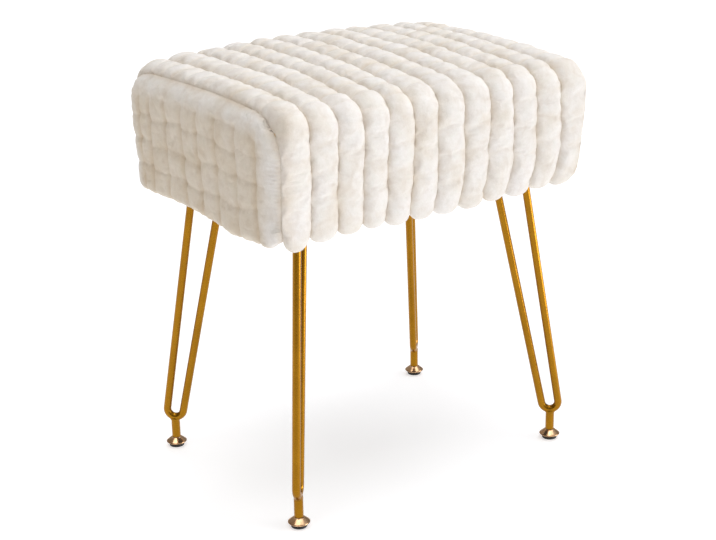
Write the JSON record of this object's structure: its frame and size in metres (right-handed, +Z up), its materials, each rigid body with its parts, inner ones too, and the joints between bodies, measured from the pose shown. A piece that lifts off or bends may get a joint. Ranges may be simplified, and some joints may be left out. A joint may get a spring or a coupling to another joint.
{
  "type": "vanity stool",
  "caption": "Rectangular vanity stool: ribbed plush seat on a plywood box frame, carried by splayed hairpin rod legs with screw-in levelling glides.",
  "frame": {"origin": "on the floor, in the middle of the footprint", "axes": "+Z up, +X along the long side of the seat, -Y is the front long side"},
  "size_m": [0.424, 0.299, 0.47],
  "materials": {
    "plush": "ribbed short-pile plush, cream white",
    "foam": "open-cell foam, stands in as fabric",
    "plywood": "raw plywood",
    "softwood": "sawn softwood",
    "nonwoven": "spun-bonded black non-woven",
    "gold_paint": "gloss gold paint on steel",
    "polished_brass": "polished",
    "zinc_steel": "bright zinc plating",
    "black_sole": "matte moulded sole"
  },
  "bodies": {
    "stool": {"cover_band": "plush", "cover_end_left": "plush", "cover_end_right": "plush", "foam_top": "foam", "foam_front": "foam", "foam_back": "foam", "foam_left": "foam", "foam_right": "foam", "base_board": "plywood", "top_board": "plywood", "rail_front": "plywood", "rail_back": "plywood", "rail_left": "plywood", "rail_right": "plywood", "corner_block_front_left": "softwood", "corner_block_front_right": "softwood", "corner_block_back_left": "softwood", "corner_block_back_right": "softwood", "dust_cover": "nonwoven", "staples": "zinc_steel", "frame_screws": "zinc_steel", "t_nuts": "zinc_steel", "leg_bolts": "zinc_steel", "leg_washers": "zinc_steel", "leg_plate_front_left": "gold_paint", "leg_plate_front_right": "gold_paint", "leg_plate_back_left": "gold_paint", "leg_plate_back_right": "gold_paint", "hairpin_rod_front_left": "gold_paint", "hairpin_rod_front_right": "gold_paint", "hairpin_rod_back_left": "gold_paint", "hairpin_rod_back_right": "gold_paint", "foot_sleeve_front_left": "gold_paint", "foot_sleeve_front_right": "gold_paint", "foot_sleeve_back_left": "gold_paint", "foot_sleeve_back_right": "gold_paint"},
    "sole_front_left": {"glide_sole_front_left": "black_sole"},
    "glide_front_left": {"glide_cap_front_left": "polished_brass", "glide_stud_front_left": "zinc_steel"},
    "sole_front_right": {"glide_sole_front_right": "black_sole"},
    "glide_front_right": {"glide_cap_front_right": "polished_brass", "glide_stud_front_right": "zinc_steel"},
    "sole_back_left": {"glide_sole_back_left": "black_sole"},
    "glide_back_left": {"glide_cap_back_left": "polished_brass", "glide_stud_back_left": "zinc_steel"},
    "sole_back_right": {"glide_sole_back_right": "black_sole"},
    "glide_back_right": {"glide_cap_back_right": "polished_brass", "glide_stud_back_right": "zinc_steel"}
  },
  "joints": [
    {"name": "glide_travel_front_left", "type": "slide", "parent": "stool", "child": "sole_front_left", "axis": [0, 0, -1], "range_m": [0, 0.008]},
    {"name": "glide_turn_front_left", "type": "hinge", "parent": "sole_front_left", "child": "glide_front_left", "pos_m": [-0.1807, -0.1295, 0], "axis": [0, 0, -1], "range_deg": [0, 2880]},
    {"name": "glide_travel_front_right", "type": "slide", "parent": "stool", "child": "sole_front_right", "axis": [0, 0, -1], "range_m": [0, 0.008]},
    {"name": "glide_turn_front_right", "type": "hinge", "parent": "sole_front_right", "child": "glide_front_right", "pos_m": [0.1807, -0.1295, 0], "axis": [0, 0, -1], "range_deg": [0, 2880]},
    {"name": "glide_travel_back_left", "type": "slide", "parent": "stool", "child": "sole_back_left", "axis": [0, 0, -1], "range_m": [0, 0.008]},
    {"name": "glide_turn_back_left", "type": "hinge", "parent": "sole_back_left", "child": "glide_back_left", "pos_m": [-0.1807, 0.1295, 0], "axis": [0, 0, -1], "range_deg": [0, 2880]},
    {"name": "glide_travel_back_right", "type": "slide", "parent": "stool", "child": "sole_back_right", "axis": [0, 0, -1], "range_m": [0, 0.008]},
    {"name": "glide_turn_back_right", "type": "hinge", "parent": "sole_back_right", "child": "glide_back_right", "pos_m": [0.1807, 0.1295, 0], "axis": [0, 0, -1], "range_deg": [0, 2880]}
  ],
  "couplings": [
    {"joint": "glide_turn_front_left", "follows": "glide_travel_front_left", "rad_per_m": 6283.2},
    {"joint": "glide_turn_front_right", "follows": "glide_travel_front_right", "rad_per_m": 6283.2},
    {"joint": "glide_turn_back_left", "follows": "glide_travel_back_left", "rad_per_m": 6283.2},
    {"joint": "glide_turn_back_right", "follows": "glide_travel_back_right", "rad_per_m": 6283.2}
  ]
}
